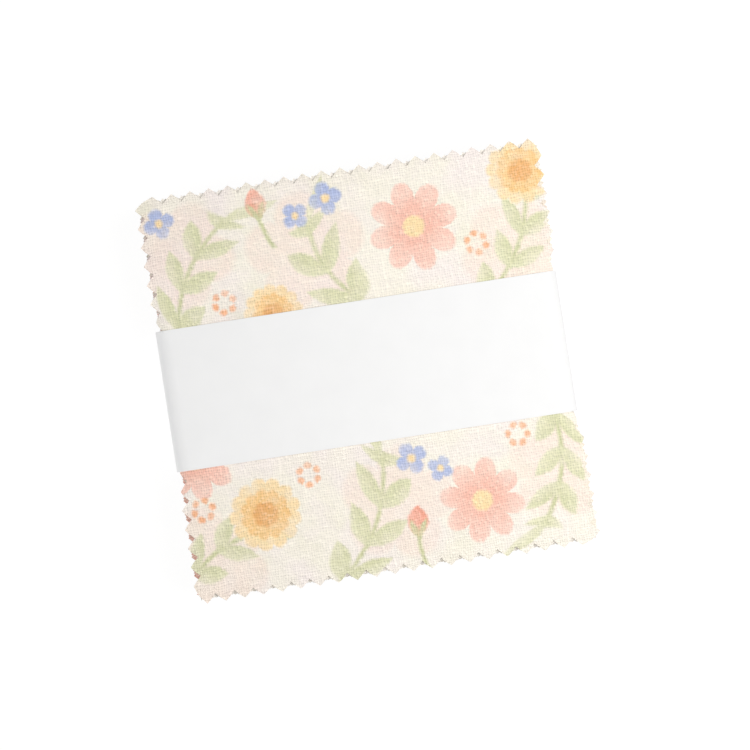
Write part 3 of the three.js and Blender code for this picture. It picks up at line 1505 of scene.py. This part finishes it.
@dataclass
class PaperBand:
    """The paper band: one strip folded round the stack, its ends lapped underneath."""

    name: str = "paper_wrap"
    node: str = "paper_band"
    slot: str = "band_paper"
    width: float = 22 * MM
    thickness: float = 0.16 * MM
    fold_radius: float = 2.4 * MM
    lap: float = 9 * MM
    lap_lift: float = 0.2 * MM
    half_length: float = 31.5 * MM
    stray: float = -0.2 * MM
    top: float = 12.32 * MM
    lap_steps: int = 4
    side_steps: int = 6
    fold_steps: int = 10
    run_steps: int = 24
    cross_steps: int = 8
    unevenness: float = 0.05 * MM
    uneven_scales: tuple[float, float] = (45, 60)
    uneven_layer: float = 5.1
    finish: PaperFinish = PaperFinish()
    length: float = field(init=False, default=0.0)

    def run(self, shape: bmesh.types.BMesh, front: list, way: Vector, steps: int) -> list:
        """Lengthens the strip in a straight line.

        Args:
            shape: The band's mesh.
            front: The strip's last edges.
            way: How far it goes, and in which direction.
            steps: In how many steps.

        Returns:
            The strip's new last edges.
        """
        for _ in range(steps):
            grown = bmesh.ops.extrude_edge_only(shape, edges=front)["geom"]
            verts = [part for part in grown if isinstance(part, bmesh.types.BMVert)]
            front = [part for part in grown if isinstance(part, bmesh.types.BMEdge)]
            front = [edge for edge in front if all(vert in verts for vert in edge.verts)]
            bmesh.ops.translate(shape, verts=verts, vec=way / steps)
        self.length += way.length
        return front

    def fold(self, shape: bmesh.types.BMesh, front: list, centre: Vector) -> list:
        """Folds the strip round a quarter turn.

        Args:
            shape: The band's mesh.
            front: The strip's last edges.
            centre: The middle of the fold.

        Returns:
            The strip's new last edges.
        """
        verts = list(dict.fromkeys(vert for edge in front for vert in edge.verts))
        turned = bmesh.ops.spin(shape, geom=front + verts, cent=centre, axis=(0, -1, 0),
                                angle=math.pi / 2, steps=self.fold_steps)
        self.length += self.fold_radius * math.pi / 2
        return [part for part in turned["geom_last"] if isinstance(part, bmesh.types.BMEdge)]

    def wrap(self, shape: bmesh.types.BMesh) -> None:
        """Folds the strip once round the stack, from its inner end to its outer one.

        Args:
            shape: The mesh to fold it in.
        """
        straight = self.half_length - self.fold_radius
        low = self.fold_radius
        high = self.top - self.fold_radius
        ends = [shape.verts.new((-self.lap / 2, side * self.width / 2, self.lap_lift)) for side in (-1, 1)]
        front = [shape.edges.new(ends)]
        front = self.run(shape, front, Vector((self.lap, 0, 0)), self.lap_steps)
        front = self.run(shape, front, Vector((self.lap, 0, -self.lap_lift)), self.side_steps)
        front = self.run(shape, front, Vector((straight - 1.5 * self.lap, 0, 0)), self.side_steps)
        front = self.fold(shape, front, Vector((straight, 0, low)))
        front = self.run(shape, front, Vector((0, 0, high - low)), self.side_steps)
        front = self.fold(shape, front, Vector((straight, 0, high)))
        front = self.run(shape, front, Vector((-2 * straight, 0, 0)), self.run_steps)
        front = self.fold(shape, front, Vector((-straight, 0, high)))
        front = self.run(shape, front, Vector((0, 0, low - high)), self.side_steps)
        front = self.fold(shape, front, Vector((-straight, 0, low)))
        self.run(shape, front, Vector((straight + self.lap / 2, 0, 0)), self.run_steps // 2)

    def build(self) -> bpy.types.Object:
        """Folds the strip round the stack and gives it its thickness.

        Returns:
            The band's object.
        """
        shape = bmesh.new()
        self.wrap(shape)
        bmesh.ops.translate(shape, verts=shape.verts[:], vec=(self.stray, 0, 0))
        bmesh.ops.recalc_face_normals(shape, faces=shape.faces[:])
        crosswise = [edge for edge in shape.edges
                     if abs(edge.verts[0].co.y - edge.verts[1].co.y) > self.width / 2]
        bmesh.ops.subdivide_edges(shape, edges=crosswise, cuts=self.cross_steps - 1, use_grid_fill=True)
        for vert in shape.verts:
            if vert.co.z > self.top / 2:
                sag = uneven(vert.co.x, vert.co.y, self.uneven_scales, self.uneven_layer)
                vert.co.z += self.unevenness * sag
        bmesh.ops.solidify(shape, geom=shape.faces[:], thickness=self.thickness)
        bmesh.ops.recalc_face_normals(shape, faces=shape.faces[:])
        shade_smooth(shape)
        return piece_of(shape, self.name)

    def dress(self, band: bpy.types.Object) -> None:
        """Args:
            band: The band's object.
        """
        band.data.materials.append(self.finish.make())
        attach(band, BODY)
        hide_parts(self.node)


@dataclass(frozen=True)
class PhotoView:
    """Where the pack shows in the photograph, in pixels of its square frame."""

    name: str = "photo_camera"
    frame: float = 750.0
    centre: tuple[float, float] = (367.5, 371.2)
    side: float = 410.0
    turn: float = math.radians(8.8)
    lens: float = 150.0
    sensor: float = 36.0
    nearest: float = 10 * MM

    def build(self, side: float, top: float) -> bpy.types.Object:
        """Makes the camera, looking straight down.

        Args:
            side: The length of a square's side.
            top: The height of the top square.

        Returns:
            The camera.
        """
        scale = side / self.side
        distance = self.lens / self.sensor * self.frame * scale
        offset = Vector((self.frame / 2 - self.centre[0], self.centre[1] - self.frame / 2, 0)) * scale
        offset.rotate(Matrix.Rotation(-self.turn, 3, "Z"))
        data = bpy.data.cameras.new(self.name)
        data.lens = self.lens
        data.sensor_width = self.sensor
        data.clip_start = self.nearest
        camera = placed(self.name, data)
        camera.location = offset + Vector((0, 0, top + distance))
        camera.rotation_euler = (0, 0, -self.turn)
        bpy.context.scene.camera = camera
        return camera


@dataclass(frozen=True)
class SoftLight:
    """One large soft lamp."""

    name: str
    place: tuple[float, float, float]
    size: float
    power: float
    colour: Colour = (1.0, 1.0, 1.0)

    def build(self) -> bpy.types.Object:
        """Hangs the lamp so that it shines on the pack.

        Returns:
            The lamp.
        """
        data = bpy.data.lights.new(self.name, "AREA")
        data.shape = "DISK"
        data.size = self.size
        data.energy = self.power
        data.color = self.colour
        lamp = placed(self.name, data)
        lamp.location = self.place
        lamp.rotation_euler = (-Vector(self.place)).to_track_quat("-Z", "Y").to_euler()
        lamp.visible_camera = False
        return lamp


@dataclass(frozen=True)
class Studio:
    """A white table in soft light."""

    floor_name: str = "white_table"
    floor_half: float = 1.2
    floor_gap: float = 0.02 * MM
    floor_colour: Colour = (0.15, 0.15, 0.15)
    floor_glow: float = 0.89
    floor_roughness: float = 0.9
    floor_gloss: float = 0.1
    white: tuple[float, float, float, float] = (1, 1, 1, 1)
    sky: float = 0.46
    lamps: tuple[SoftLight, ...] = (
        SoftLight("key", (0.10, -0.01, 0.17), 0.18, 0.262, (1.0, 0.996, 0.985)),
        SoftLight("fill", (-0.15, 0.02, 0.67), 0.6, 0.70),
        SoftLight("left_fill", (-0.4, -0.12, 0.07), 0.3, 0.5),
    )

    def build(self) -> None:
        """Lays the floor, hangs the lamps and sets the light of the room."""
        self.lay_floor()
        world = bpy.data.worlds.new("white_room")
        world.use_nodes = True
        backdrop = world.node_tree.nodes["Background"]
        backdrop.inputs["Color"].default_value = self.white
        backdrop.inputs["Strength"].default_value = self.sky
        bpy.context.scene.world = world
        for lamp in self.lamps:
            lamp.build()
        bpy.context.scene.view_settings.view_transform = "Standard"

    def lay_floor(self) -> None:
        """Lays the floor just under the pack."""
        shape = bmesh.new()
        bmesh.ops.create_grid(shape, x_segments=1, y_segments=1, size=self.floor_half)
        bmesh.ops.translate(shape, verts=shape.verts[:], vec=(0, 0, -self.floor_gap))
        floor = piece_of(shape, self.floor_name)
        material, _ = plain_material(self.floor_name, {
            "Base Color": (*self.floor_colour, 1),
            "Roughness": self.floor_roughness,
            "Specular IOR Level": self.floor_gloss,
            "Emission Color": self.white,
            "Emission Strength": self.floor_glow,
        })
        floor.data.materials.append(material)


def main() -> None:
    """Builds the camera, the pack and the studio."""
    logging.basicConfig(level=logging.INFO, format="%(message)s")
    noise.seed_set(SEED)
    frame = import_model()
    stack = SquareStack()
    PhotoView().build(stack.top_cut.side, stack.lie.paper + stack.lie.count * stack.lie.pitch)
    band = PaperBand()
    wrap = band.build()
    band.dress(wrap)
    LOG.info("%s: %.1f mm long, %d faces", wrap.name, band.length / MM, len(wrap.data.polygons))
    stack.build(wrap.name)
    Studio().build()


if __name__ == "__main__":
    main()
